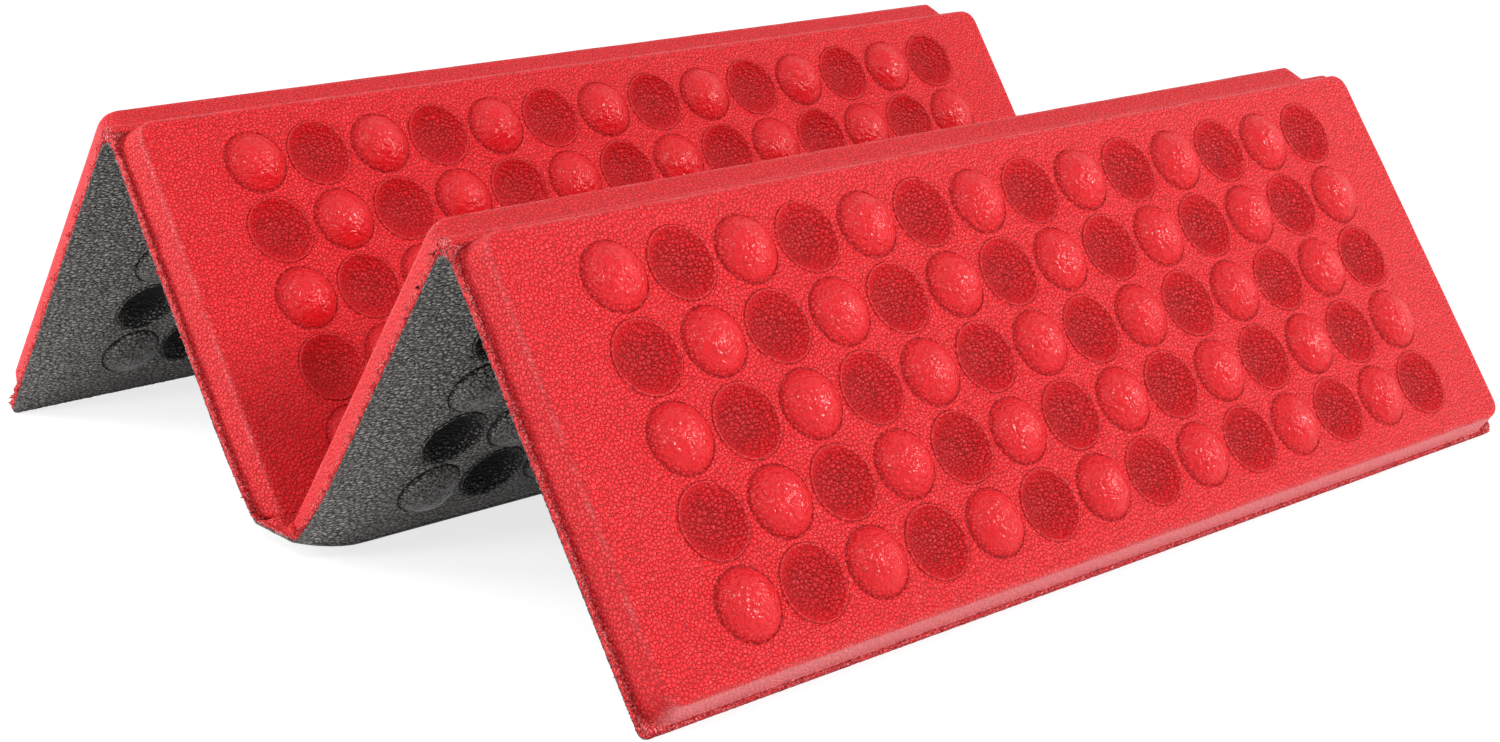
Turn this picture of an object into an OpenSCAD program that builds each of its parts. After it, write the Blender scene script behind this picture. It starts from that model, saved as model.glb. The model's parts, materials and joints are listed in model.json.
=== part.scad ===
// Folding foam seat pad, standing half folded as a zigzag of four panels.
// Each panel is a red bumped pad bonded to a thin grey base sheet.
// X runs along the creases, Y from the front to the back and Z up.
// The origin is on the ground, under the middle of the valley crease.

/* [Bumps] */
// Distance between the centres of neighbouring bumps
bump_pitch = 16.5; // [16:0.1:22]
// Number of bumps along a panel
bump_columns = 14; // [2:1:20]
// Number of bumps across a panel
bump_rows = 5; // [1:1:8]
// Diameter of a dome at its foot
dome_d = 14.5; // [9:0.1:14.8]
// Height of a dome above the face it stands on
dome_h = 4; // [2:0.1:4.5]
// Room left around a dome that nests in a dimple
nest_gap = 0.5; // [0.3:0.05:0.6]

/* [Pads] */
// Thickness of a panel between its bumps
pad_t = 8.2; // [7.5:0.1:12]
// Bare face past the last bump centre at both ends of a panel
end_margin = 24.75; // [12:0.25:40]
// Bare face past the last bump centre at both sides of a panel
side_margin = 13.2; // [11:0.1:25]
// How far the pad's sides lean in between the edge and the face
bevel = 1; // [0.4:0.1:2]
// Plan radius of the pad's corners
pad_corner_r = 4; // [1:0.5:8]

/* [Edges] */
// Thickness of the grey base sheet
base_t = 0.8; // [0.5:0.1:1.2]
// Thickness of the pressed edge, base sheet included
edge_t = 1.6; // [1.4:0.1:2.5]
// Width of the pressed edge at both ends of the pad
end_edge = 2; // [0.5:0.1:4]
// Width of the pressed edge along the two feet
foot_edge = 2; // [0.5:0.1:4]
// Plan radius of the pressed edge's free corners
edge_corner_r = 2; // [0.5:0.5:4]

/* [Folds] */
// Slope of the two inner panels as the pad stands
inner_slope = 55; // [40:0.5:70]
// Gap between two faces that are folded together
fold_gap = 0.5; // [0.4:0.1:1]
// Gap between two neighbouring sheets along a crease, laid flat
crease_gap = 0.6; // [0.4:0.1:1]

/* [Hidden] */
$fn = 64;
// Room for the bond around the lined dimples
bond_gap = 0.05;
// Overlap that lets a solid run into or out of another
reach = 1;
// Share of the crease gap that a ridge web leaves open at each sheet
web_clearance = crease_gap / 4;

// A bump is a cap of a sphere
function cap_radius(d, h) = (d * d / 4 + h * h) / (2 * h);
dimple_d = dome_d + 2 * nest_gap;
dimple_h = dome_h + nest_gap;
dome_r = cap_radius(dome_d, dome_h);
dimple_r = cap_radius(dimple_d, dimple_h);

// Along a panel, X is 0 at its middle
pad_l = (bump_columns - 1) * bump_pitch + 2 * end_margin;
sheet_l = pad_l + 2 * (bevel + end_edge);

// Across a panel, Y is 0 at its ridge and grows down the slope
pad_start = crease_gap / 2;
face_start = pad_start + bevel;
first_row = face_start + side_margin;
face_end = first_row + (bump_rows - 1) * bump_pitch + side_margin;
pad_end = face_end + bevel;
foot_end = pad_end + foot_edge;
valley_at = pad_end + crease_gap / 2;

// A ridge turns just under the base sheet, the valley on top of the edge
ridge_drop = fold_gap / 2;
valley_half = pad_t - edge_t + fold_gap / 2;
valley_web_w = 2 * valley_half - crease_gap;
ridge_y = valley_half + valley_at * cos(inner_slope) + (edge_t + ridge_drop) * sin(inner_slope);
ridge_z = edge_t + valley_at * sin(inner_slope) - (edge_t + ridge_drop) * cos(inner_slope);

// The outer panels reach from the ridges down to the ground
outer_slope = asin(ridge_z / norm([foot_end, ridge_drop])) + atan(ridge_drop / foot_end);

echo(ridge_y = ridge_y, ridge_z = ridge_z, valley_half = valley_half, outer_slope = outer_slope);
echo(sheet_l = sheet_l, flat_length = 2 * (foot_end + valley_at + valley_half));

red = [0.88, 0.12, 0.14];
grey = [0.33, 0.32, 0.31];

// Points of a quarter circle about a centre, from a start angle
function corner(centre, r, from) = [
    for (step = [0:4]) centre + r * [cos(from + 22.5 * step), sin(from + 22.5 * step)]
];

// Outline of a plate between two distances from the ridge, with its own corner radius at each side
function plate(length, start, end, start_r, end_r) = concat(
    corner([length / 2 - end_r, end - end_r], end_r, 0),
    corner([end_r - length / 2, end - end_r], end_r, 90),
    corner([start_r - length / 2, start + start_r], start_r, 180),
    corner([length / 2 - start_r, start + start_r], start_r, 270)
);

// Places its child at every second bump, as on a chessboard
module every_second_bump(odd) {
    for (row = [0:bump_rows - 1], column = [0:bump_columns - 1]) {
        if ((row + column) % 2 == (odd ? 1 : 0)) {
            x = (column - (bump_columns - 1) / 2) * bump_pitch;
            translate([x, first_row + row * bump_pitch, 0]) children();
        }
    }
}

// A slab over the whole panel, between two heights
module layer(low, high) {
    translate([-sheet_l, -reach, low]) cube([2 * sheet_l, foot_end + 2 * reach, high - low]);
}

// Pad with leaning sides, across and along the panel, and round corners
module leaning_block() {
    across = [
        [pad_start, base_t], [pad_end, base_t], [pad_end, edge_t],
        [face_end, pad_t], [face_start, pad_t], [pad_start, edge_t]
    ];
    half_foot = pad_l / 2 + bevel;
    along = [
        [-half_foot, base_t], [half_foot, base_t], [half_foot, edge_t],
        [pad_l / 2, pad_t], [-pad_l / 2, pad_t], [-half_foot, edge_t]
    ];
    intersection() {
        rotate([90, 0, 90]) linear_extrude(2 * sheet_l, center = true) polygon(across);
        translate([0, pad_end + reach, 0]) rotate([90, 0, 0]) linear_extrude(pad_end + 2 * reach) polygon(along);
        linear_extrude(pad_t + reach)
            polygon(plate(2 * half_foot, pad_start, pad_end, pad_corner_r, pad_corner_r));
    }
}

// Pressed edge round a panel, between two heights
module edge_plate(end, low, high) {
    end_r = end > pad_end ? edge_corner_r : edge_corner_r / 4;
    translate([0, 0, low]) linear_extrude(high - low)
        polygon(plate(sheet_l, pad_start, end, edge_corner_r / 4, end_r));
}

// Red foam of one panel, with a dome or a dimple at the bump nearest the ridge and the left end
module red_pad(end, dome_first) {
    lining_r = dimple_r + base_t + bond_gap;
    difference() {
        union() {
            edge_plate(end, base_t, edge_t);
            leaning_block();
        }
        every_second_bump(dome_first) translate([0, 0, pad_t + dimple_r - dimple_h]) sphere(dimple_r);
        every_second_bump(!dome_first) translate([0, 0, dimple_h - dimple_r]) sphere(lining_r);
    }
    intersection() {
        every_second_bump(!dome_first) translate([0, 0, pad_t + dome_h - dome_r]) sphere(dome_r);
        layer(pad_t - reach / 2, pad_t + dome_h + reach);
    }
}

// Grey sheet of one panel, which lines the hollows under the red domes and swells under the red dimples
module grey_base(end, dome_first) {
    difference() {
        union() {
            edge_plate(end, 0, base_t);
            intersection() {
                every_second_bump(!dome_first) translate([0, 0, dimple_h - dimple_r]) sphere(dimple_r + base_t);
                layer(base_t / 2, pad_t);
            }
        }
        every_second_bump(!dome_first) translate([0, 0, dimple_h - dimple_r]) sphere(dimple_r);
    }
    intersection() {
        every_second_bump(dome_first) translate([0, 0, dome_r - dome_h]) sphere(dome_r);
        layer(-dome_h - reach, base_t / 2);
    }
}

// Puts an outer panel on the back ridge, leaning to the back
module outer_place() {
    translate([0, ridge_y, ridge_z]) rotate([-outer_slope, 0, 0]) translate([0, 0, ridge_drop]) children();
}

// Puts an inner panel on the back ridge, leaning to the front
module inner_place() {
    translate([0, ridge_y, ridge_z]) mirror([0, 1, 0]) rotate([-inner_slope, 0, 0])
        translate([0, 0, ridge_drop]) children();
}

// The front half of the pad is the back half turned over its middle
module to_front() {
    mirror([0, 1, 0]) children();
}

// A point of a panel, across and above its base, seen from the ridge's axis
function on_panel(side, slope, across, above) = [
    side * (across * cos(slope) + (above + ridge_drop) * sin(slope)),
    (above + ridge_drop) * cos(slope) - across * sin(slope)
];

// Strip that bridges the two sheets at the back ridge, between two heights above their base
module ridge_web(low, high) {
    at = pad_start - web_clearance;
    section = [
        on_panel(1, outer_slope, at, low), on_panel(1, outer_slope, at, high),
        [0, high + ridge_drop],
        on_panel(-1, inner_slope, at, high), on_panel(-1, inner_slope, at, low),
        [0, low + ridge_drop]
    ];
    translate([0, ridge_y, ridge_z]) rotate([90, 0, 90])
        linear_extrude(sheet_l, center = true) polygon(section);
}

// Strip on the ground between the two inner panels, between two heights
module valley_web(low, high) {
    translate([-sheet_l / 2, -valley_web_w / 2, low]) cube([sheet_l, valley_web_w, high - low]);
}

module back_outer_red_pad() { color(red) outer_place() red_pad(foot_end, false); }
module back_outer_grey_base() { color(grey) outer_place() grey_base(foot_end, false); }
module back_inner_red_pad() { color(red) inner_place() red_pad(pad_end, true); }
module back_inner_grey_base() { color(grey) inner_place() grey_base(pad_end, true); }
module front_inner_red_pad() { color(red) to_front() inner_place() red_pad(pad_end, false); }
module front_inner_grey_base() { color(grey) to_front() inner_place() grey_base(pad_end, false); }
module front_outer_red_pad() { color(red) to_front() outer_place() red_pad(foot_end, true); }
module front_outer_grey_base() { color(grey) to_front() outer_place() grey_base(foot_end, true); }
module back_ridge_red_web() { color(red) ridge_web(base_t, edge_t); }
module back_ridge_grey_web() { color(grey) ridge_web(0, base_t); }
module front_ridge_red_web() { color(red) to_front() ridge_web(base_t, edge_t); }
module front_ridge_grey_web() { color(grey) to_front() ridge_web(0, base_t); }
module valley_red_web() { color(red) valley_web(base_t, edge_t); }
module valley_grey_web() { color(grey) valley_web(0, base_t); }

back_outer_red_pad();
back_outer_grey_base();
back_inner_red_pad();
back_inner_grey_base();
front_inner_red_pad();
front_inner_grey_base();
front_outer_red_pad();
front_outer_grey_base();
back_ridge_red_web();
back_ridge_grey_web();
front_ridge_red_web();
front_ridge_grey_web();
valley_red_web();
valley_grey_web();
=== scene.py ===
import json
import math

import bmesh
import bpy
import numpy as np
from mathutils import Matrix, Vector, noise

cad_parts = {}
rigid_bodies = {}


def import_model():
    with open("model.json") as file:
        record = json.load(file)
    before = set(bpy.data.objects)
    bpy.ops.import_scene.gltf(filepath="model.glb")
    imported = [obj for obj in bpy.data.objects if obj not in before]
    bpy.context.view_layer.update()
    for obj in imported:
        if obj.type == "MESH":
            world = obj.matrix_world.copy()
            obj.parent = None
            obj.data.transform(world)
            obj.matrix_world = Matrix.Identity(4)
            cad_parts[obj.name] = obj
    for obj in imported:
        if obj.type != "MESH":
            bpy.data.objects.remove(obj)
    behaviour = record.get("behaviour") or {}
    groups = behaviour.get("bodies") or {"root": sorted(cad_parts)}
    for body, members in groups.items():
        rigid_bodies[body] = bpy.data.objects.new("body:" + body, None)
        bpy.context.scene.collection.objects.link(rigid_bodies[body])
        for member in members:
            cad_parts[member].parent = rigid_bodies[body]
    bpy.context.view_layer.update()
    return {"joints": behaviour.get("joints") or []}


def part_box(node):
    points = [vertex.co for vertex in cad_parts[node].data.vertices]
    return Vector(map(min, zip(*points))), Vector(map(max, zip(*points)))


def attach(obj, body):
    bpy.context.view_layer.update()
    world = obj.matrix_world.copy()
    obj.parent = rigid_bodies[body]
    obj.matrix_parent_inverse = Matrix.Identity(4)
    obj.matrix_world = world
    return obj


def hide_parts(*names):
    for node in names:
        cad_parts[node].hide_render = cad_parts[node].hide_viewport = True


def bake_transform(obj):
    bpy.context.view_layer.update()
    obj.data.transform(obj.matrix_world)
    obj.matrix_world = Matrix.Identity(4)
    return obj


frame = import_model()

# The pad's lengths are in millimetres. Its meshes, the materials, the lights and the camera are in metres
MM = 0.001

# Chessboard of bumps on a panel
PITCH = 16.5
COLUMNS = 14
ROWS = 5
DOME_R = 7.25
DOME_H = 4.0
DIMPLE_R = 7.35
DIMPLE_H = 4.5
RIM_R = 7.7
HOLLOW_R = 7.5
SIDE_MARGIN = 13.2

# Section of a panel, from the base plane under the grey sheet up to the red face, with its creases,
# its corners seen from above, and the rounding of its face's edge
BASE_T = 0.8
CUT_BASE_T = 0.2
LIP_T = 1.6
PAD_T = 8.2
BEVEL = 1.8
CREASE_BEVEL = 1.0
LIP_W = 1.2
PAD_START = 0.3
RIDGE_DROP = 0.25
RIDGE_CROWD = 4.4
RIDGE_TUCK = 0.7
FACE_CORNER = 4.0
CREASE_CORNER = 0.5
LIP_CORNER = 2.0
EDGE_ROUND = 1.5
EDGE_DROP = 0.55
SKIN_GAP = 0.02

# How far the two ends of the valley are drawn up, from where along x and up to what height, how much
# less the pads' faces are, and over what height of the foam in the fold this is lost
LIFT = 4.2
LIFT_FROM = 119.0
LIFT_REACH = 24.0
LIFT_LOSS = 0.85
LIFT_FADE = 4.4

# The foam in the valley: how far it stands out past the pads' bevelled ends, and the points from the
# middle of its ground strip to where that turns up
VALLEY_PROUD = 0.8
GROUND_STEPS = (0, 2.5, 4.8)

# Mesh steps: points along one side of a bump's square, and of the rough lip between two of them
SIDE = 6
FINE = 7
EDGE_STEPS = (0, 0.6, 1.2, 2.0, 3.0, 4.0, 6.0, 9.0, 12.5)
BUMP_RINGS = (8.2, 8.1, 7.98, 7.85, 7.7, 7.55, 7.4, 7.2, 6.8, 6.1, 5.1, 3.8, 2.3, 1.0)
HIDDEN_RINGS = (7.9, 6.5, 3.5)
# Share of the bevel's width and of the height above the lip, down the pad's steep side
BEVEL_RINGS = ((0.16, 0.78), (0.34, 0.64), (0.52, 0.47), (0.68, 0.3),
               (0.82, 0.15), (0.93, 0.04), (1.0, -0.03))
# Rings over the cut edge of the red lip and of the grey sheet: share of the lip's width, height,
# raggedness, and for the red lip also the share of pulled fibres and how torn it looks
RED_LIP_RINGS = (
    (0.6, LIP_T + 0.2, 0.4, 0, 1),
    (1, LIP_T - 0.1, 0.7, 0.1, 0.8),
    (1, (LIP_T + CUT_BASE_T) / 2, 0.3, 0.05, 0.25),
    (1, CUT_BASE_T, 0.2, 0, 0.1),
)
GREY_BOND = CUT_BASE_T - SKIN_GAP
GREY_LIP_RINGS = ((0.9, 0, 0.1), (1, 0.03, 0.15), (1, GREY_BOND / 2, 0.2), (1, GREY_BOND, 0.2))

# Fine ripples round a bump: the bead and groove of a rolled rim, and the groove at a dome's foot
BEAD_WIDTH = 0.18
BEAD_H = 0.34
RIM_GROOVE_R = RIM_R + 0.28
RIM_GROOVE_WIDTH = 0.09
RIM_GROOVE_DEPTH = 0.4
FOOT_GROOVE_R = DOME_R + 0.15
FOOT_GROOVE_WIDTH = 0.14
FOOT_GROOVE_DEPTH = 0.3
BUMP_SPREAD = 0.04

SHEET_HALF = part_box("valley_red_web")[1][0] / MM
FACE_HALF = SHEET_HALF - LIP_W - BEVEL
FACE_START = PAD_START + CREASE_BEVEL
FIRST_ROW = FACE_START + SIDE_MARGIN
FACE_END = FIRST_ROW + PITCH * (ROWS - 1) + SIDE_MARGIN
PAD_END = FACE_END + CREASE_BEVEL
FOOT_END = FACE_END + BEVEL + LIP_W
VALLEY_AT = PAD_END + PAD_START

joints = {joint["name"]: joint for joint in frame["joints"]}


def joint_point(name):
    """Where a crease's axis crosses the part's section, as y and z."""
    _, y, z = joints[name]["pos_m"]
    return y / MM, z / MM


RIDGE_Y, RIDGE_Z = joint_point("back_ridge_hinge")
VALLEY_Y, VALLEY_Z = joint_point("valley_back_hinge")
INNER_SLOPE = (math.atan2(RIDGE_Z - VALLEY_Z, RIDGE_Y - VALLEY_Y)
               + math.atan2(LIP_T + RIDGE_DROP, VALLEY_AT))
OUTER_SLOPE = (math.asin(RIDGE_Z / math.hypot(FOOT_END, RIDGE_DROP))
               + math.atan2(RIDGE_DROP, FOOT_END))


def lift_ends(points, share=1.0):
    """Draws up the ends of the valley, where the thin lip takes a shorter way round the fold."""
    points = np.array(points, float)
    end = np.clip((np.abs(points[:, 0]) - LIFT_FROM) / (SHEET_HALF - LIFT_FROM), 0, 1)
    near = np.clip(1 - points[:, 2] / LIFT_REACH, 0, 1)
    points[:, 2] += LIFT * end ** 1.6 * near ** 2 * share
    return points


def lift_fold(points):
    """The same for the foam in the fold, which is drawn up less at its top, where the pads meet."""
    height = np.asarray(points, float)[:, 2]
    return lift_ends(points, 1 - LIFT_LOSS * np.clip((height - LIP_T) / LIFT_FADE, 0, 1))


class Panel:
    """A panel's own frame: x along the creases, u down from its ridge and w out of its red face."""

    def __init__(self, name, ridge_y, side, slope, outer, dome_first):
        self.name = name
        self.body = name + "_panel"
        self.outer = outer
        self.dome_first = dome_first
        self.down = np.array([0, side * math.cos(slope), -math.sin(slope)])
        self.out = np.array([0, side * math.sin(slope), math.cos(slope)])
        self.origin = np.array([0, ridge_y, RIDGE_Z]) + RIDGE_DROP * self.out
        self.lip_end = FOOT_END if outer else PAD_END

    def world(self, points):
        """Points given as x, u, w, in the part's frame in millimetres."""
        points = np.asarray(points, float)
        along = np.outer(points[:, 0], (1, 0, 0))
        placed = (self.origin + along
                  + np.outer(points[:, 1], self.down) + np.outer(points[:, 2], self.out))
        if self.outer:
            return placed
        deep = np.clip((points[:, 2] - LIP_T) / (PAD_T - LIP_T), 0, 1)
        return lift_ends(placed, 1 - LIFT_LOSS * deep)


PANELS = {
    "back_outer": Panel("back_outer", RIDGE_Y, 1, OUTER_SLOPE, True, False),
    "back_inner": Panel("back_inner", RIDGE_Y, -1, INNER_SLOPE, False, True),
    "front_inner": Panel("front_inner", -RIDGE_Y, 1, INNER_SLOPE, False, False),
    "front_outer": Panel("front_outer", -RIDGE_Y, -1, OUTER_SLOPE, True, True),
}


# Mesh helpers

class Shell:
    """Vertices in a panel's frame or the part's, their faces, and the looks that the materials read.

    edge is how torn a cut edge is, wall a plain side, painted a little darker as shade, the sheen a spot
    painted pale as a highlight, crown the top of a dome, and the recess shade the inside of a hollow or
    groove, painted darker as shade.
    """

    def __init__(self):
        self.points = []
        self.faces = []
        self.looks = {"edge": [], "wall": [], "rub": [], "crown": [], "bowl": []}

    def add(self, points, **looks):
        first = len(self.points)
        count = len(points)
        self.points.extend(np.asarray(points, float).tolist())
        for key, values in self.looks.items():
            values.extend(np.broadcast_to(looks.get(key, 0.0), count).tolist())
        return list(range(first, first + count))

    def patch(self, ids, faces):
        self.faces.extend(tuple(ids[i] for i in face) for face in faces)

    def bridge(self, ring, other):
        """Quads between two closed rings of as many points."""
        count = len(ring)
        for k in range(count):
            n = (k + 1) % count
            self.faces.append((ring[k], ring[n], other[n], other[k]))

    def bridge_finer(self, ring, fine):
        """Faces between a closed ring and one with FINE times as many points."""
        count = len(ring)
        for k in range(count):
            n = (k + 1) % count
            steps = [fine[(k * FINE + i) % len(fine)] for i in range(FINE, -1, -1)]
            self.faces.append((ring[k], ring[n], *steps))

    def build(self, name, to_world, material):
        mesh = bpy.data.meshes.new(name)
        mesh.from_pydata((to_world(self.points) * MM).tolist(), [], self.faces)
        for key, values in self.looks.items():
            attribute = mesh.attributes.new(key, "FLOAT", "POINT")
            attribute.data.foreach_set("value", np.array(values, np.float32))
        work = bmesh.new()
        work.from_mesh(mesh)
        bmesh.ops.recalc_face_normals(work, faces=work.faces)
        work.to_mesh(mesh)
        work.free()
        mesh.polygons.foreach_set("use_smooth", [True] * len(mesh.polygons))
        mesh.materials.append(material)
        piece = bpy.data.objects.new(name, mesh)
        bpy.context.scene.collection.objects.link(piece)
        return piece


def wander(points, size, seed):
    """Smooth noise from -1 to 1 at each point, with bumps about that size."""
    shift = Vector((seed * 7.3, seed * 3.1, seed * 5.7))
    return np.array([noise.noise(Vector(p) / size + shift) for p in points])


def round_box(points, low, high, low_corner, high_corner):
    """Distance outside a rectangle around x = 0, from low to high in u, with its corners rounded."""
    points = np.asarray(points, float)
    half_x, middle, half_u = high[0], (low[1] + high[1]) / 2, (high[1] - low[1]) / 2
    radius = np.where(points[:, 1] < middle, low_corner, high_corner)
    over_x = np.abs(points[:, 0]) - half_x + radius
    over_u = np.abs(points[:, 1] - middle) - half_u + radius
    outside = np.hypot(np.maximum(over_x, 0), np.maximum(over_u, 0))
    return outside + np.minimum(np.maximum(over_x, over_u), 0) - radius


def grid_lines(low, high, first, count):
    """Grid lines from low to high: close steps near both ends and SIDE steps to each bump's square."""
    start = first - PITCH / 2
    cells = [start + PITCH * k / SIDE for k in range(count * SIDE + 1)]
    before = [low + step for step in EDGE_STEPS if low + step < start - EDGE_STEPS[1]]
    after = [high - step for step in reversed(EDGE_STEPS) if high - step > cells[-1] + EDGE_STEPS[1]]
    return before + cells + after, len(before)


class Face:
    """The flat pattern of a panel's face: a ring grid on each bump and a plain grid on the margins."""

    def __init__(self, foot_corner, rings):
        self.foot_corner = foot_corner
        self.points = []
        self.cells = []
        self.faces = []
        self.ids = {}
        first_x = -PITCH * (COLUMNS - 1) / 2
        self.xs, x_cell = grid_lines(-FACE_HALF, FACE_HALF, first_x, COLUMNS)
        self.us, u_cell = grid_lines(FACE_START, FACE_END, FIRST_ROW, ROWS)
        self.margins(x_cell, u_cell)
        for row in range(ROWS):
            for column in range(COLUMNS):
                self.bump(row, column, x_cell + column * SIDE, u_cell + row * SIDE, rings)
        last_x, last_u = len(self.xs) - 1, len(self.us) - 1
        self.rim = ([self.at(i, 0) for i in range(last_x)]
                    + [self.at(last_x, j) for j in range(last_u)]
                    + [self.at(i, last_u) for i in range(last_x, 0, -1)]
                    + [self.at(0, j) for j in range(last_u, 0, -1)])
        self.points = np.array(self.points)
        self.cells = np.array(self.cells)
        self.round_corners()

    def at(self, i, j):
        if (i, j) not in self.ids:
            self.ids[i, j] = self.new(self.xs[i], self.us[j], (-1, -1, PITCH))
        return self.ids[i, j]

    def new(self, x, u, cell):
        self.points.append((x, u))
        self.cells.append(cell)
        return len(self.points) - 1

    def margins(self, x_cell, u_cell):
        for j in range(len(self.us) - 1):
            for i in range(len(self.xs) - 1):
                on_x = x_cell <= i < x_cell + COLUMNS * SIDE
                on_u = u_cell <= j < u_cell + ROWS * SIDE
                if not (on_x and on_u):
                    corners = ((i, j), (i + 1, j), (i + 1, j + 1), (i, j + 1))
                    self.faces.append(tuple(self.at(*corner) for corner in corners))

    def bump(self, row, column, i, j, rings):
        ring = ([self.at(i + k, j) for k in range(SIDE)]
                + [self.at(i + SIDE, j + k) for k in range(SIDE)]
                + [self.at(i + SIDE - k, j + SIDE) for k in range(SIDE)]
                + [self.at(i, j + SIDE - k) for k in range(SIDE)])
        count = len(ring)
        middle_x, middle_u = self.xs[i] + PITCH / 2, self.us[j] + PITCH / 2
        turn = 2 * math.pi / count
        start = math.radians(-135)
        for radius in rings:
            inner = []
            for k in range(count):
                angle = start + turn * k
                x = middle_x + radius * math.cos(angle)
                u = middle_u + radius * math.sin(angle)
                inner.append(self.new(x, u, (row, column, radius)))
            for k in range(count):
                n = (k + 1) % count
                self.faces.append((ring[k], ring[n], inner[n], inner[k]))
            ring = inner
        middle = self.new(middle_x, middle_u, (row, column, 0))
        self.faces.extend((ring[k], ring[(k + 1) % count], middle) for k in range(count))

    def round_corners(self):
        """Draws the square grid of each corner in to a quarter circle."""
        middle = (FACE_START + FACE_END) / 2
        x, u = self.points[:, 0], self.points[:, 1] - middle
        radius = np.where(u < 0, FACE_CORNER, self.foot_corner)
        centre_x = FACE_HALF - radius
        centre_u = (FACE_END - FACE_START) / 2 - radius
        a = np.maximum(np.abs(x) - centre_x, 0) / radius
        b = np.maximum(np.abs(u) - centre_u, 0) / radius
        corner = (a > 0) & (b > 0)
        round_x = np.sign(x) * (centre_x + radius * a * np.sqrt(1 - b * b / 2))
        round_u = np.sign(u) * (centre_u + radius * b * np.sqrt(1 - a * a / 2))
        self.points[:, 0] = np.where(corner, round_x, x)
        self.points[:, 1] = np.where(corner, round_u, u) + middle

    def outside(self, points):
        low, high = (-FACE_HALF, FACE_START), (FACE_HALF, FACE_END)
        return round_box(points, low, high, FACE_CORNER, self.foot_corner)

    def rim_normals(self):
        """The outward direction at each point of the face's outline, from the rounded box's slope."""
        rim = self.points[self.rim]
        step = 1e-3
        slope = [(self.outside(rim + move) - self.outside(rim - move)) / (2 * step)
                 for move in (np.array((step, 0)), np.array((0, step)))]
        normals = np.stack(slope, axis=1)
        return normals / np.linalg.norm(normals, axis=1, keepdims=True)


def bevel_run(normals, panel):
    """How far the pad's side leans out at each point of its outline: less along a crease."""
    free = normals[:, 0] ** 2
    if panel.outer:
        free = free + np.maximum(normals[:, 1], 0) ** 2
    return CREASE_BEVEL + (BEVEL - CREASE_BEVEL) * np.clip(free, 0, 1)


FACES = {outer: Face(FACE_CORNER if outer else CREASE_CORNER, BUMP_RINGS) for outer in (True, False)}
HIDDEN = {outer: Face(FACE_CORNER if outer else CREASE_CORNER, HIDDEN_RINGS) for outer in (True, False)}


# Heights of a panel's two skins

def cap(radius, height, rho):
    """Height of a spherical cap above its foot circle."""
    ball = (radius * radius + height * height) / (2 * height)
    return np.where(rho < radius, np.sqrt(np.maximum(ball * ball - rho * rho, 0)) - ball + height, 0)


def ripple(rho, middle, width, height):
    """A fine round ridge, or groove where the height is negative."""
    return height * np.exp(-((rho - middle) / width) ** 2)


def rolled_rim(rho):
    """The fine bead round a hollow, with a groove outside it."""
    bead = ripple(rho, RIM_R, BEAD_WIDTH, BEAD_H)
    return bead + ripple(rho, RIM_GROOVE_R, RIM_GROOVE_WIDTH, -RIM_GROOVE_DEPTH)


def foot_groove(rho):
    """The fine groove at the foot of a dome."""
    return ripple(rho, FOOT_GROOVE_R, FOOT_GROOVE_WIDTH, -FOOT_GROOVE_DEPTH)


def bump_kinds(face, panel):
    """Which points lie on a red dome, which on a red dimple, and how far from its middle."""
    row, column, rho = face.cells.T
    on_bump = row >= 0
    even = (row + column) % 2 == 0
    dome = on_bump & (even == panel.dome_first)
    return dome, on_bump & ~dome, rho


def uneven(face, panel):
    """A factor for each bump's height, so that no two are quite alike."""
    rng = np.random.default_rng(len(panel.name) * 7 + panel.dome_first)
    factors = 1 + rng.uniform(-BUMP_SPREAD, BUMP_SPREAD, (ROWS, COLUMNS))
    row, column, _ = face.cells.T
    return factors[row.astype(int), column.astype(int)]


def rim_painted_light(hollow, rho):
    """Where a hollow's bead is painted pale as a highlight and the groove round it dark as shade."""
    rub = np.where(hollow, ripple(rho, RIM_R, 0.12, 0.12), 0)
    dark = np.where(hollow, ripple(rho, RIM_GROOVE_R, 0.08, 1.0), 0)
    return rub, dark


def foot_painted_shade(dome, rho):
    """The groove at the foot of a dome, painted dark as shade."""
    return np.where(dome, ripple(rho, DOME_R + 0.12, 0.18, 1.2), 0)


def crown_look(dome, rho):
    """1 on the top of a dome, and 0 at its foot."""
    return np.where(dome, np.clip(2.2 - 2.2 * (rho / DOME_R) ** 2, 0, 1), 0)


def red_skin(face, panel):
    """Height of the red skin over the base plane, and its looks."""
    dome, dimple, rho = bump_kinds(face, panel)
    factor = uneven(face, panel)
    past = FACE_END if panel.outer else FACE_END + 2 * FACE_CORNER
    low, high = (-FACE_HALF, FACE_START), (FACE_HALF, past)
    inset = np.maximum(-round_box(face.points, low, high, FACE_CORNER, FACE_CORNER), 0)
    bend = np.clip(1 - inset / EDGE_ROUND, 0, 1)
    height = PAD_T - EDGE_DROP * (1 - np.sqrt(1 - bend * bend))
    domes = cap(DOME_R, DOME_H, rho) * factor + foot_groove(rho)
    bowls = rolled_rim(rho) - cap(DIMPLE_R, DIMPLE_H, rho) * factor
    height += np.where(dome, domes, 0) + np.where(dimple, bowls, 0)
    spots = np.column_stack((face.points, height))
    height += 0.09 * wander(spots, 14, 1) + 0.05 * wander(spots, 4.5, 2)
    # Each dimple's bead is painted pale as a highlight, and the grooves round it and at each dome's foot
    # dark as shade.
    rub, groove = rim_painted_light(dimple, rho)
    # A broken line along the face's rounded edge is painted pale as a highlight.
    rub += 0.25 * np.clip(1 - inset / 0.9, 0, 1) * np.clip(0.5 + wander(spots, 3, 6), 0, 1)
    groove += foot_painted_shade(dome, rho)
    # Each dimple's inside is painted darker towards its middle as shade, and so are the grooves.
    bowl = np.where(dimple, np.clip(1.3 - 1.5 * (rho / DIMPLE_R) ** 2, 0, 1), 0)
    return height, {"rub": rub, "crown": crown_look(dome, rho), "bowl": np.maximum(bowl, groove)}


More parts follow.
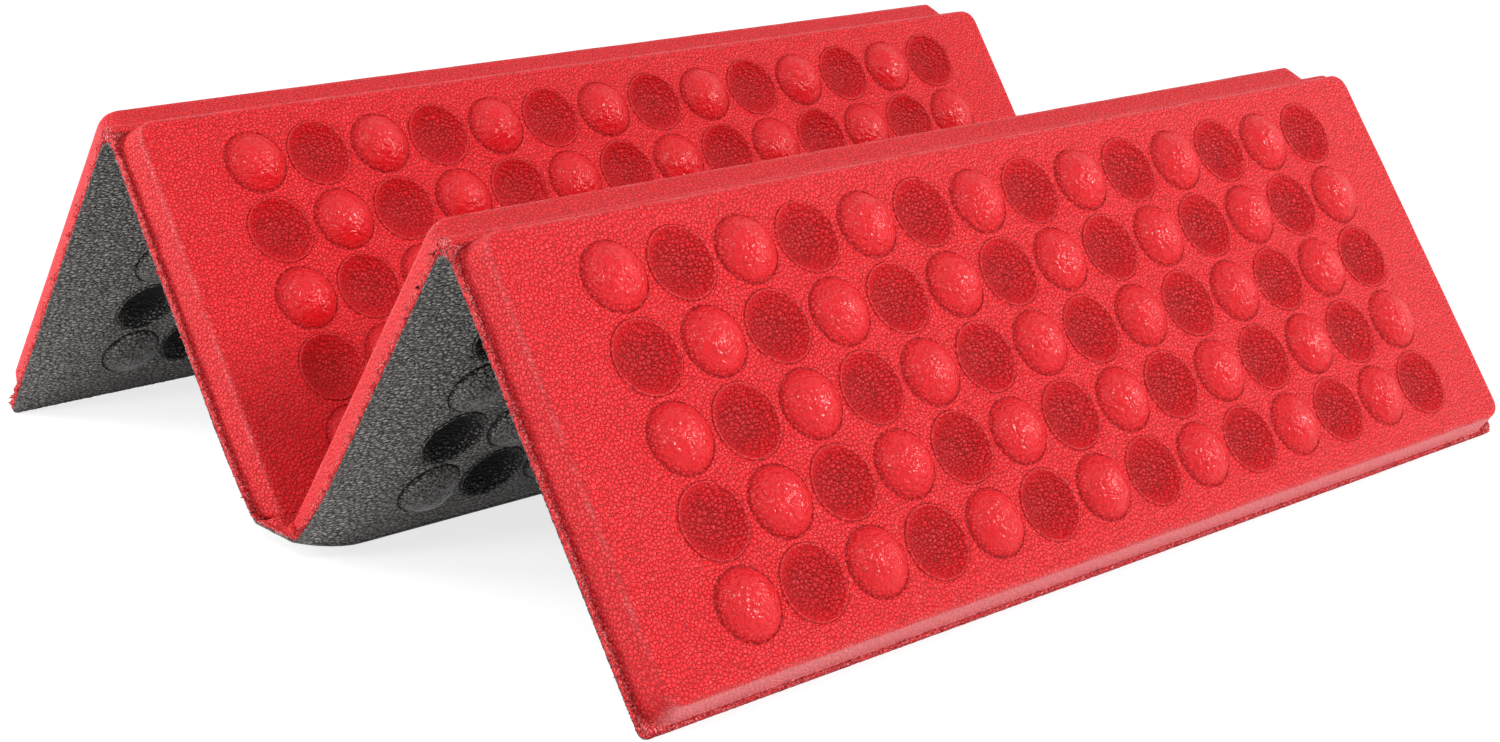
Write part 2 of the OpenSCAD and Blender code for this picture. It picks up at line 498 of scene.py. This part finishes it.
def grey_skin(face, panel):
    """Height of the grey skin, a hollow under each red dome and a dome under each dimple, and its looks."""
    hollow, dome, rho = bump_kinds(face, panel)
    factor = uneven(face, panel)
    hollows = cap(HOLLOW_R, DIMPLE_H, rho) * factor - rolled_rim(rho)
    domes = -foot_groove(rho) - cap(DOME_R, DOME_H, rho) * factor
    height = np.where(hollow, hollows, 0) + np.where(dome, domes, 0)
    spots = np.column_stack((face.points, height))
    height += 0.08 * wander(spots, 12, 4) * (np.abs(face.outside(face.points)) > 0.1)
    # Each hollow's bead is painted pale as a highlight, and the grooves round it and at each dome's foot
    # dark as shade.
    rub, groove = rim_painted_light(hollow, rho)
    groove += foot_painted_shade(dome, rho)
    # Each hollow's inside is painted darker towards its middle as shade, and so are the grooves.
    bowl = np.where(hollow, np.clip(1.3 - (rho / HOLLOW_R) ** 2, 0, 1), 0)
    return height, {"rub": rub, "crown": crown_look(dome, rho), "bowl": np.maximum(bowl, groove)}


def inner_skin(face, panel):
    """Height of the bond between the red and the grey foam, which follows the hollows."""
    hollow, _, rho = bump_kinds(face, panel)
    return BASE_T + np.where(hollow, cap(HOLLOW_R + 0.3, DIMPLE_H + 0.6, rho), 0)


# Rough pressed lip round a panel

class Lip:
    """Fine rings of points from the foot of the pad's side out to the sheet's torn-looking cut edge."""

    def __init__(self, face, panel, seed):
        rim = face.points[face.rim]
        normals = face.rim_normals()
        share = np.arange(FINE)[:, None] / FINE
        between = [a + (b - a) * share for a, b in zip(rim, np.roll(rim, -1, axis=0))]
        turning = [a + (b - a) * share for a, b in zip(normals, np.roll(normals, -1, axis=0))]
        self.points = np.concatenate(between)
        turning = np.concatenate(turning)
        self.normals = turning / np.linalg.norm(turning, axis=1, keepdims=True)
        self.reach = self.reach_to_edge(panel)
        self.run = np.minimum(bevel_run(self.normals, panel), self.reach)
        self.free = np.clip((self.reach - self.run) / LIP_W, 0, 1)
        self.end = panel.lip_end
        self.rng = np.random.default_rng(seed)
        self.foot = np.clip(self.normals[:, 1] * 3 - 1, 0, 1)

    def reach_to_edge(self, panel):
        """How far outward each point is from the sheet's cut edge, by halving."""
        low, high = (-SHEET_HALF, PAD_START), (SHEET_HALF, panel.lip_end)
        foot_corner = LIP_CORNER if panel.outer else RIDGE_DROP
        near, far = np.zeros(len(self.points)), np.full(len(self.points), 3 * FACE_CORNER)
        for _ in range(40):
            middle = (near + far) / 2
            spot = self.points + self.normals * middle[:, None]
            inside = round_box(spot, low, high, RIDGE_DROP, foot_corner) < 0
            near, far = np.where(inside, middle, near), np.where(inside, far, middle)
        return near

    def ring(self, share, height, ragged=0.0, whiskers=0.0):
        """Points at that share of the lip's width, roughened outward and in height."""
        count = len(self.points)
        rough = ragged * self.rng.uniform(-1, 0.5, count)
        pulled = self.rng.random(count) < whiskers
        rough += np.where(pulled, self.rng.uniform(0.2, 1.1, count), 0)
        rough = np.where(self.foot > 0.5, -np.abs(rough), rough) * self.free
        lift = 0.5 * ragged * self.rng.uniform(-1, 1, count) * self.free
        offset = self.run + (self.reach - self.run) * share + rough
        flat = self.points + self.normals * offset[:, None]
        flat[:, 1] = np.clip(flat[:, 1], PAD_START, self.end)
        return np.column_stack((flat, height + lift))


def red_pad(panel, material):
    """The red foam of one panel: pebbled face, steep sides, and the pressed lip at its free edges."""
    shell = Shell()
    face, hidden = FACES[panel.outer], HIDDEN[panel.outer]
    height, looks = red_skin(face, panel)
    top = shell.add(np.column_stack((face.points, height)), **looks)
    shell.patch(top, face.faces)
    ring = [top[i] for i in face.rim]
    rim, normals = face.points[face.rim], face.rim_normals()
    run = bevel_run(normals, panel)
    for offset, share in BEVEL_RINGS:
        flat = rim + normals * (run * offset)[:, None]
        level = LIP_T + (PAD_T - LIP_T) * share
        spots = np.column_stack((flat, np.full(len(flat), level)))
        spots[:, 2] += 0.1 * wander(spots, 5, 3)
        spots[:, 1] = np.clip(spots[:, 1], PAD_START, panel.lip_end)
        # The foot side of an outer pad is painted pale as a sheen.
        rub = 0.6 * np.clip(3 * normals[:, 1] - 2, 0, 1) * panel.outer
        lower = shell.add(spots, edge=0.15 * (1 - share), wall=1.0, rub=rub)
        shell.bridge(ring, lower)
        ring = lower
    lip = Lip(face, panel, 3 + len(panel.name))
    # The groove at the lip's foot is painted dark as shade.
    fine = shell.add(lip.ring(0.2, LIP_T - 0.15, 0.05), edge=0.5, bowl=1.0)
    shell.bridge_finer(ring, fine)
    for share, level, ragged, whiskers, torn in RED_LIP_RINGS:
        lower = shell.add(lip.ring(share, level, ragged, whiskers), edge=torn, wall=1.0)
        shell.bridge(fine, lower)
        fine = lower
    under = shell.add(np.column_stack((hidden.points, inner_skin(hidden, panel))))
    shell.patch(under, hidden.faces)
    shell.bridge_finer([under[i] for i in hidden.rim], fine)
    return shell.build(panel.name + "_red_foam", panel.world, material)


def grey_base(panel, material):
    """The grey foam sheet under one panel, out to the cut edge that it shares with the lip."""
    shell = Shell()
    face, hidden = FACES[panel.outer], HIDDEN[panel.outer]
    height, looks = grey_skin(face, panel)
    skin = shell.add(np.column_stack((face.points, height)), **looks)
    shell.patch(skin, face.faces)
    lip = Lip(face, panel, 23 + len(panel.name))
    fine = shell.add(lip.ring(0.3, 0), edge=0.2)
    shell.bridge_finer([skin[i] for i in face.rim], fine)
    for share, level, ragged in GREY_LIP_RINGS:
        upper = shell.add(lip.ring(share, level, ragged), edge=1.0)
        shell.bridge(fine, upper)
        fine = upper
    bonded = inner_skin(hidden, panel) - SKIN_GAP
    top = shell.add(np.column_stack((hidden.points, bonded)))
    shell.patch(top, hidden.faces)
    shell.bridge_finer([top[i] for i in hidden.rim], fine)
    return shell.build(panel.name + "_grey_foam", panel.world, material)


# Crease strips, as closed sections drawn along x

def strip_stations():
    """Places along x at which a crease strip's section is drawn, closer together at its two ends."""
    middle = np.linspace(-FACE_HALF + 3, FACE_HALF - 3, 90)
    ends = [FACE_HALF - 2, FACE_HALF - 1, FACE_HALF - 0.4, FACE_HALF]
    ends += [FACE_HALF + BEVEL * offset for offset, _ in BEVEL_RINGS]
    ends += [SHEET_HALF - 0.6, SHEET_HALF - 0.15, SHEET_HALF]
    return [-x for x in reversed(ends)] + list(middle) + ends


def pad_share(x):
    """How much of the pad's height above the lip is left at x: all on the face, none on the lip."""
    rim = 1 - EDGE_DROP / (PAD_T - LIP_T)
    offsets = [-EDGE_ROUND, -EDGE_ROUND / 2, 0] + [BEVEL * offset for offset, _ in BEVEL_RINGS]
    shares = [1, 1 - (1 - rim) / 7, rim] + [max(share, 0) for _, share in BEVEL_RINGS]
    return float(np.interp(abs(x) - FACE_HALF, offsets, shares))


def draw_strip(name, section, material, ragged, seed, crumple=0.0, proud=0.0, to_world=np.array):
    """A closed strip. section(share) gives y and z of its outline where that share of the pad is left.

    ragged roughens its two ends, crumple folds the foam just inside them, and proud is how far the
    strip's full height reaches past the pads' own.
    """
    shell = Shell()
    rng = np.random.default_rng(seed)
    rings = []
    for x in strip_stations():
        outline = np.array(section(pad_share(max(abs(x) - proud, 0))))
        count = len(outline)
        rough = rng.uniform(-1, 0.4, count) * ragged * (abs(x) > SHEET_HALF - 0.5)
        spots = np.column_stack((np.full(count, x) + math.copysign(1, x) * rough, outline))
        if crumple and abs(x) > FACE_HALF - 2.5:
            swell = crumple * wander(spots, 1.8, seed)
            spots[:, 0] += swell * (1 - pad_share(x) * 0.4) * (abs(x) < FACE_HALF + 1.2)
        worn = 1.0 if abs(x) > FACE_HALF + BEVEL else 0.15
        rings.append(shell.add(spots, edge=worn, wall=1.0))
    for ring, other in zip(rings, rings[1:]):
        shell.bridge(ring, other)
    shell.faces.append(tuple(rings[0]))
    shell.faces.append(tuple(reversed(rings[-1])))
    return shell.build(name, to_world, material)


def panel_yz(panel, u, w):
    """A point of a panel's section, as y and z."""
    return panel.world([(0, u, w)])[0, 1:].tolist()


def arc(centre, radius, start, end, steps):
    """Points on a round stretch of a section, with its angles in degrees."""
    angles = np.radians(np.linspace(start, end, steps))
    return [(centre[0] + radius * math.cos(a), centre[1] + radius * math.sin(a)) for a in angles]


def bend_through(start, control, end, steps):
    """Points on a smooth bend from start to end that leans toward a control point."""
    shares = np.linspace(0, 1, steps)[:, None]
    start, control, end = (np.array(point) for point in (start, control, end))
    curve = start * (1 - shares) ** 2 + 2 * control * shares * (1 - shares) + end * shares ** 2
    return [tuple(point) for point in curve]


def ridge_strip(end, layer, material):
    """One foam layer bent round a ridge, and the foam that the fold crowds together under it."""
    outer, inner = PANELS[end + "_outer"], PANELS[end + "_inner"]
    side = 1 if end == "back" else -1
    axis = (side * RIDGE_Y, RIDGE_Z)
    bends = (90 - side * math.degrees(OUTER_SLOPE), 90 + side * math.degrees(INNER_SLOPE))
    tuck = PAD_START + RIDGE_TUCK

    def crowded(reach, low):
        corner = (axis[0], axis[1] + (RIDGE_DROP + low) / math.cos(INNER_SLOPE))
        return bend_through(panel_yz(inner, reach, low), corner, panel_yz(outer, reach, low), 11)

    def section(share):
        if layer == "grey":
            return [*crowded(RIDGE_CROWD + 0.6, -0.2), *reversed(crowded(RIDGE_CROWD, -SKIN_GAP))]
        over = arc(axis, LIP_T + RIDGE_DROP, *bends, 15)
        return [panel_yz(outer, tuck, LIP_T), *over, panel_yz(inner, tuck, LIP_T),
                panel_yz(inner, tuck, 0), *crowded(RIDGE_CROWD, 0), panel_yz(outer, tuck, 0)]

    piece = draw_strip(f"{end}_ridge_{layer}_crease", section, material, ragged=0.3, seed=31)
    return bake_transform(piece)


def valley_bend(side, height):
    """The round stretch where the ground strip turns up into an inner panel, at a height in the sheet."""
    slope = math.degrees(INNER_SLOPE)
    corner = panel_yz(PANELS["back_inner"], PAD_END, 0)
    ground = corner[0] - corner[1] / math.tan(INNER_SLOPE)
    tangent = corner[1] / math.sin(INNER_SLOPE)
    radius = tangent / math.tan(INNER_SLOPE / 2)
    bend = arc((ground - tangent, radius), radius - height, -90, -90 + slope, 7)
    return [(side * y, z) for y, z in bend]


def valley_blend(piece, panel):
    """Bakes the placement of half of the valley's foam into its mesh."""
    edge = Vector((0, *panel_yz(panel, FACE_END, PAD_T)))
    foot = Vector((0, *panel_yz(panel, PAD_END, LIP_T)))
    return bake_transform(piece)


def valley_red(end, material):
    """Half of the squeezed red foam between the two inner pads, over its half of the ground strip."""
    panel = PANELS[end + "_inner"]
    side = 1 if end == "back" else -1
    tuck = 0.35
    steps = (0, 0.03, 0.15, 0.3, 0.45, 0.6, 0.75, 0.9, 1)

    def section(share):
        bottom = [*((side * y, BASE_T) for y in GROUND_STEPS), *valley_bend(side, BASE_T)]
        level = LIP_T + (PAD_T - LIP_T) * share
        wall = [panel_yz(panel, PAD_END - tuck - CREASE_BEVEL * share * s,
                         LIP_T - 0.1 + (level - LIP_T) * s)
                for s in (0, 0.3, 0.65, 0.97)]
        edge = np.array(panel_yz(panel, FACE_END + CREASE_BEVEL * (1 - share), level))
        fold_z = edge[1] - abs(edge[0]) * math.tan(INNER_SLOPE)
        fold = np.array((0, max(LIP_T, LIP_T + (fold_z - LIP_T) * share)))
        face = [tuple(edge + (fold - edge) * s) for s in steps]
        return [*bottom, *wall, *face]

    piece = draw_strip(f"valley_{end}_red_fold", section, material, ragged=0.3, seed=41 + side,
                       crumple=0.35, proud=VALLEY_PROUD, to_world=lift_fold)
    return valley_blend(piece, panel)


def valley_grey(end, material):
    """Half of the grey skin under the valley, from the ground up to its inner panel's base."""
    panel = PANELS[end + "_inner"]
    side = 1 if end == "back" else -1

    def section(share):
        top = BASE_T - SKIN_GAP
        under = [*((side * y, 0) for y in GROUND_STEPS), *valley_bend(side, 0)]
        tuck = [panel_yz(panel, PAD_END - 0.5, 0.15), panel_yz(panel, PAD_END - 0.5, top - 0.1)]
        over = [*reversed(valley_bend(side, top)), *((side * y, top) for y in reversed(GROUND_STEPS))]
        return [*under, *tuck, *over]

    piece = draw_strip(f"valley_{end}_grey_skin", section, material, ragged=0.25, seed=51,
                       to_world=lift_ends)
    return valley_blend(piece, panel)


# Materials

class Nodes:
    """A node tree, with short calls to add nodes and join them."""

    def __init__(self, name=None, tree=None):
        if tree is None:
            self.material = bpy.data.materials.new(name)
            self.material.use_nodes = True
            tree = self.material.node_tree
            self.shader = tree.nodes["Principled BSDF"]
        self.tree = tree

    def add(self, kind, inputs=None, **settings):
        node = self.tree.nodes.new(kind)
        for key, value in settings.items():
            setattr(node, key, value)
        for key, value in (inputs or {}).items():
            if isinstance(value, bpy.types.NodeSocket):
                self.tree.links.new(value, node.inputs[key])
            else:
                node.inputs[key].default_value = value
        return node

    def math(self, operation, a, b=0.0, clamp=False):
        return self.add("ShaderNodeMath", {0: a, 1: b}, operation=operation, use_clamp=clamp).outputs[0]

    def mix(self, factor, a, b):
        node = self.add("ShaderNodeMix", data_type="RGBA")
        for index, value in ((0, factor), (6, a), (7, b)):
            if isinstance(value, bpy.types.NodeSocket):
                self.tree.links.new(value, node.inputs[index])
            else:
                node.inputs[index].default_value = value
        return node.outputs[2]

    def ranged(self, value, low, high, to_low=0.0, to_high=1.0):
        inputs = {0: value, 1: low, 2: high, 3: to_low, 4: to_high}
        return self.add("ShaderNodeMapRange", inputs).outputs[0]

    def noise(self, place, scale):
        inputs = {"Vector": place, "Scale": scale, "Detail": 3.0}
        return self.add("ShaderNodeTexNoise", inputs).outputs["Fac"]

    def look(self, name):
        return self.add("ShaderNodeAttribute", attribute_name=name).outputs["Fac"]

    def join(self, socket, name):
        self.tree.links.new(socket, self.shader.inputs[name])


def foam_grain(nodes, place, cell, warp, crack):
    """Pebbled grain of moulded foam: round pebbles in cells of that size, and the cracks between them."""
    drift = nodes.add("ShaderNodeTexNoise", {"Vector": place, "Scale": 0.6 / cell, "Detail": 2.0})
    centred = nodes.add("ShaderNodeVectorMath", {0: drift.outputs["Color"], 1: (0.5, 0.5, 0.5)},
                        operation="SUBTRACT")
    pushed = nodes.add("ShaderNodeVectorMath", {0: centred.outputs[0], "Scale": warp * cell},
                       operation="SCALE")
    moved = nodes.add("ShaderNodeVectorMath", {0: place, 1: pushed.outputs[0]},
                      operation="ADD").outputs[0]
    pebbles = nodes.add("ShaderNodeTexVoronoi", {"Vector": moved, "Scale": 1 / cell}, feature="F1")
    edges = nodes.add("ShaderNodeTexVoronoi", {"Vector": moved, "Scale": 1 / cell},
                      feature="DISTANCE_TO_EDGE")
    rounds = nodes.ranged(pebbles.outputs["Distance"], 0.0, 0.7, 1.0, 0.0)
    cracks = nodes.ranged(edges.outputs["Distance"], 0.0, crack, 1.0, 0.0)
    return rounds, cracks


# Size of the wrinkles on a dome's crown, in metres
CROWN_CELL = 0.0016


def foam(name, deep, plain, pale, worn, cell, stretch, crack, depth, rough, gloss,
         hollow, crown_painted_shade, specks):
    """Moulded foam skin: its grain, its smoother and wrinkled domes, dark hollows and worn cut edges.

    The colours are those deep in the grain, plain, on its pebbles, which are painted pale as fine
    highlights, and worn pale, which is both the wear on torn edges and a painted sheen. cell, stretch,
    crack and depth are the grain's size in metres, its pull along each axis, the width of its cracks and
    its relief. hollow and specks are how dark shade is painted into the hollows and grooves and how dark
    the fine pits are, and the crown shade is how dark shade is painted onto the domes.
    """
    nodes = Nodes(name)
    nodes.shader.inputs["Specular IOR Level"].default_value = gloss
    coordinates = nodes.add("ShaderNodeTexCoord").outputs["Object"]
    place = nodes.add("ShaderNodeMapping", {"Vector": coordinates, "Scale": stretch}).outputs[0]
    edge, wall, rub, crown, bowl = map(nodes.look, ("edge", "wall", "rub", "crown", "bowl"))
    rounds, cracks = foam_grain(nodes, place, cell, 0.9, crack)
    wrinkles, folds = foam_grain(nodes, coordinates, CROWN_CELL, 2.2, 0.25)
    fine = nodes.noise(place, 2.2 / cell)
    cloud = nodes.noise(coordinates, 55.0)
    smooth = nodes.math("MAXIMUM", nodes.math("MULTIPLY", wall, 0.4), rub)
    grained = nodes.ranged(smooth, 0.0, 1.0, 1.0, 0.35)
    grained = nodes.math("MULTIPLY", grained, nodes.ranged(crown, 0.0, 1.0, 1.0, 0.35))

    patches = nodes.ranged(cloud, 0.3, 0.7, 0.25, 0.9)
    # Pebble tops are painted pale, in cloudy patches, as the grain's fine highlights.
    lit = nodes.math("MULTIPLY", nodes.ranged(rounds, 0.45, 0.9), patches)
    colour = nodes.mix(nodes.math("MULTIPLY", lit, grained), plain, pale)
    shade = nodes.math("MULTIPLY", nodes.math("MULTIPLY", cracks, grained), 0.8)
    # Shade is painted darker into the hollows and grooves, onto the domes and onto the side walls.
    for look, dark in ((bowl, hollow), (crown, crown_painted_shade), (wall, 0.15)):
        shade = nodes.math("ADD", shade, nodes.math("MULTIPLY", look, dark), clamp=True)
    shade = nodes.math("ADD", shade, nodes.ranged(fine, 0.45, 0.62, 0.0, specks), clamp=True)
    colour = nodes.mix(shade, colour, deep)
    # Torn edges get pale flecks of wear; beads, face edges and outer pads' feet get a painted pale sheen.
    flecks = nodes.ranged(fine, 0.5, 0.62)
    wear_and_sheen = nodes.math("ADD", nodes.math("MULTIPLY", edge, flecks), rub, clamp=True)
    nodes.join(nodes.mix(wear_and_sheen, colour, worn), "Base Color")

    roughness = nodes.ranged(fine, 0.3, 0.7, rough - 0.05, rough + 0.08)
    roughness = nodes.math("SUBTRACT", roughness, nodes.math("MULTIPLY", crown, 0.22))
    dull = nodes.math("MAXIMUM", nodes.math("MULTIPLY", nodes.math("MAXIMUM", bowl, wall), 0.4), edge)
    dull = nodes.math("MULTIPLY", dull, 0.3)
    nodes.join(nodes.math("ADD", roughness, dull, clamp=True), "Roughness")

    face = nodes.math("SUBTRACT", rounds, nodes.math("MULTIPLY", cracks, 0.5))
    face = nodes.math("ADD", face, nodes.math("MULTIPLY", fine, 0.25))
    face = nodes.math("MULTIPLY", face, nodes.ranged(crown, 0.0, 0.8, 1.0, 0.12))
    domes = nodes.math("SUBTRACT", wrinkles, nodes.math("MULTIPLY", folds, 0.3))
    domes = nodes.math("MULTIPLY", nodes.math("MULTIPLY", domes, crown), 0.85)
    torn = nodes.math("MULTIPLY", nodes.math("MULTIPLY", fine, edge), 2.0)
    height = nodes.math("ADD", nodes.math("ADD", face, domes), torn)
    bump = nodes.add("ShaderNodeBump", {"Strength": 1.0, "Distance": depth, "Height": height})
    nodes.join(bump.outputs["Normal"], "Normal")
    return nodes.material


def seen_directly(nodes):
    """1 for what the camera sees, itself or in a gloss or a glass, and 0 for the light that falls."""
    path = nodes.add("ShaderNodeLightPath")
    seen = nodes.math("MAXIMUM", path.outputs["Is Camera Ray"], path.outputs["Is Glossy Ray"])
    return nodes.math("MAXIMUM", seen, path.outputs["Is Transmission Ray"])


def floor_material():
    """White studio paper, paler to the camera than to the light, so that shadows stay soft and light."""
    nodes = Nodes("studio_floor")
    nodes.shader.inputs["Base Color"].default_value = (0.9, 0.9, 0.9, 1)
    nodes.shader.inputs["Roughness"].default_value = 0.9
    nodes.shader.inputs["Specular IOR Level"].default_value = 0.1
    shaded = nodes.add("ShaderNodeBsdfDiffuse", {"Color": (*[FLOOR_SHADED] * 3, 1)}).outputs[0]
    glow = nodes.add("ShaderNodeEmission", {"Color": (1, 1, 1, 1), "Strength": FLOOR_GLOW}).outputs[0]
    pale = nodes.add("ShaderNodeAddShader", {0: shaded, 1: glow}).outputs[0]
    plain = nodes.shader.outputs[0]
    both = nodes.add("ShaderNodeMixShader", {0: seen_directly(nodes), 1: plain, 2: pale}).outputs[0]
    nodes.tree.links.new(both, nodes.tree.nodes["Material Output"].inputs["Surface"])
    return nodes.material


# Camera, floor and light

CAMERA_AT = (-0.3922, -0.4280, 0.1925)
CAMERA_YAW = 42.41
CAMERA_PITCH = -17.14
CAMERA_ROLL = 1.01
LENS = 60.1
SENSOR = 36.0

# Name, direction from the object, distance and size in metres, and power in watts
SOFTBOXES = (
    ("right_softbox", (0.55, -0.75, 0.5), 2.2, 0.47, 34.0),
    ("left_softbox", (-0.72, 0.6, 0.3), 0.9, 0.32, 6.1),
    ("top_softbox", (-0.6, -0.3, 0.75), 1.4, 0.22, 5.5),
)
# Strength of the white surroundings as light on the object, and where they are seen, and how much of
# the floor's white takes shadows there and how much doesn't
WORLD_LIGHT = 0.46
WORLD_SEEN = 1.0
FLOOR_SHADED = 0.36
FLOOR_GLOW = 0.76


def make_camera():
    yaw, pitch, roll = (math.radians(a) for a in (CAMERA_YAW, CAMERA_PITCH, CAMERA_ROLL))
    ahead = Vector((math.sin(yaw) * math.cos(pitch), math.cos(yaw) * math.cos(pitch), math.sin(pitch)))
    right = Vector((math.cos(yaw), -math.sin(yaw), 0))
    up = right.cross(ahead)
    tilted = right * math.cos(roll) + up * math.sin(roll)
    raised = up * math.cos(roll) - right * math.sin(roll)
    data = bpy.data.cameras.new("photo_camera")
    data.sensor_fit = "HORIZONTAL"
    data.sensor_width = SENSOR
    data.lens = LENS
    data.clip_start = 0.01
    camera = bpy.data.objects.new("photo_camera", data)
    turn = Matrix((tilted, raised, -ahead)).transposed()
    camera.matrix_world = Matrix.Translation(CAMERA_AT) @ turn.to_4x4()
    bpy.context.scene.collection.objects.link(camera)
    bpy.context.scene.camera = camera


def make_softbox(name, direction, distance, size, watts):
    """A square soft light that faces the object from that direction."""
    data = bpy.data.lights.new(name, "AREA")
    data.shape = "SQUARE"
    data.size = size
    data.energy = watts
    lamp = bpy.data.objects.new(name, data)
    toward = Vector(direction).normalized()
    lamp.location = toward * distance
    lamp.rotation_euler = toward.to_track_quat("Z", "Y").to_euler()
    bpy.context.scene.collection.objects.link(lamp)


def make_studio():
    bpy.ops.mesh.primitive_plane_add(size=8)
    floor = bpy.context.object
    floor.name = "studio_floor"
    floor.data.materials.append(floor_material())
    for softbox in SOFTBOXES:
        make_softbox(*softbox)
    world = bpy.data.worlds.new("studio_world")
    world.use_nodes = True
    sky = Nodes(tree=world.node_tree)
    background = world.node_tree.nodes["Background"]
    background.inputs["Color"].default_value = (1, 1, 1, 1)
    strength = sky.ranged(seen_directly(sky), 0.0, 1.0, WORLD_LIGHT, WORLD_SEEN)
    world.node_tree.links.new(strength, background.inputs["Strength"])
    bpy.context.scene.world = world
    bpy.context.scene.view_settings.view_transform = "Standard"


# The pad

# hollow and the crown shade are how dark shade is painted into the hollows and grooves and onto the domes.
RED_SKIN = {
    "deep": (0.30, 0.003, 0.005, 1), "plain": (0.78, 0.016, 0.023, 1),
    "pale": (0.88, 0.06, 0.07, 1), "worn": (0.92, 0.3, 0.31, 1),
    "cell": 0.00085, "stretch": (1, 1, 1), "crack": 0.1, "depth": 0.00024,
    "rough": 0.42, "gloss": 0.25, "hollow": 0.57, "crown_painted_shade": 0.15, "specks": 0.0,
}
GREY_SKIN = {
    "deep": (0.015, 0.014, 0.014, 1), "plain": (0.49, 0.462, 0.444, 1),
    "pale": (0.86, 0.81, 0.78, 1), "worn": (0.42, 0.38, 0.37, 1),
    "cell": 0.0008, "stretch": (0.55, 1, 1), "crack": 0.22, "depth": 0.00045,
    "rough": 0.5, "gloss": 0.2, "hollow": 0.95, "crown_painted_shade": 0.45, "specks": 0.55,
}


def finish_piece(piece, slot, *nodes):
    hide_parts(*nodes)


def make_pad():
    red = foam("red_foam_skin", **RED_SKIN)
    grey = foam("grey_foam_skin", **GREY_SKIN)
    for name, panel in PANELS.items():
        pad = red_pad(panel, red)
        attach(pad, panel.body)
        finish_piece(pad, "red_foam", name + "_red_pad")
        base = grey_base(panel, grey)
        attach(base, panel.body)
        finish_piece(base, "grey_foam", name + "_grey_base")
    for end in ("back", "front"):
        finish_piece(ridge_strip(end, "red", red), "red_foam", end + "_ridge_red_web")
        finish_piece(ridge_strip(end, "grey", grey), "grey_foam", end + "_ridge_grey_web")
        finish_piece(valley_red(end, red), "red_foam", "valley_red_web")
        finish_piece(valley_grey(end, grey), "grey_foam", "valley_grey_web")


make_camera()
make_studio()
make_pad()
